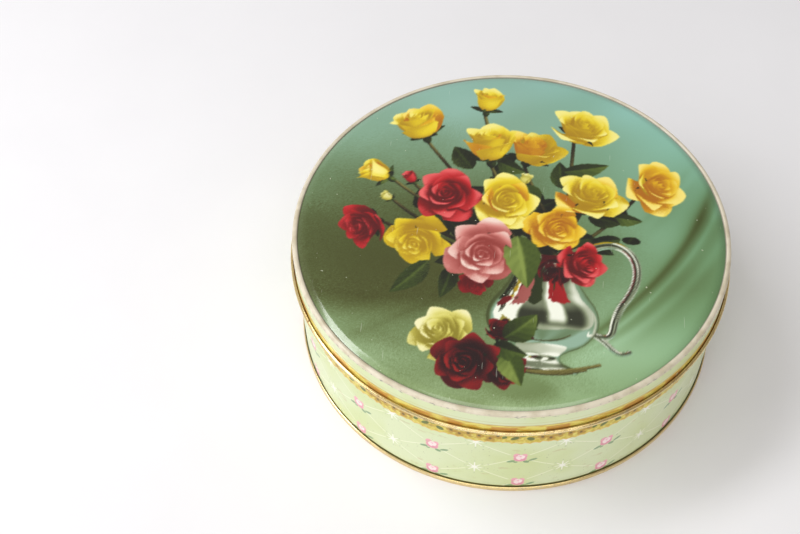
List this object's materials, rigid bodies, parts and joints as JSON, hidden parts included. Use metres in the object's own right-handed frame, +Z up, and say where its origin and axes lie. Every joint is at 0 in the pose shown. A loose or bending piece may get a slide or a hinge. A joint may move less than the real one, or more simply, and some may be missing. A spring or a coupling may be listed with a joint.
{
  "type": "round slip-lid tin",
  "caption": "Round printed tinplate tin with a slip-on lid: flower picture on the lid, trellis of small roses on the wall.",
  "frame": {"origin": "centre of the base, on the surface that the tin stands on", "axes": "+Z up along the tin's own axis, -Y towards the front, with the wall's side seam at the back on +Y"},
  "size_m": [0.23, 0.23, 0.0756],
  "materials": {
    "lid_print": "gloss print",
    "wall_print": "gloss print",
    "base_tinplate": "gold lacquered tinplate"
  },
  "bodies": {
    "tin_body": {"body_wall": "wall_print", "base_disc": "base_tinplate"},
    "lid": {"lid_shell": "lid_print"}
  },
  "joints": [
    {"name": "lid_lift", "type": "slide", "parent": "tin_body", "child": "lid", "axis": [0, 0, 1], "range_m": [0, 0.09]}
  ]
}
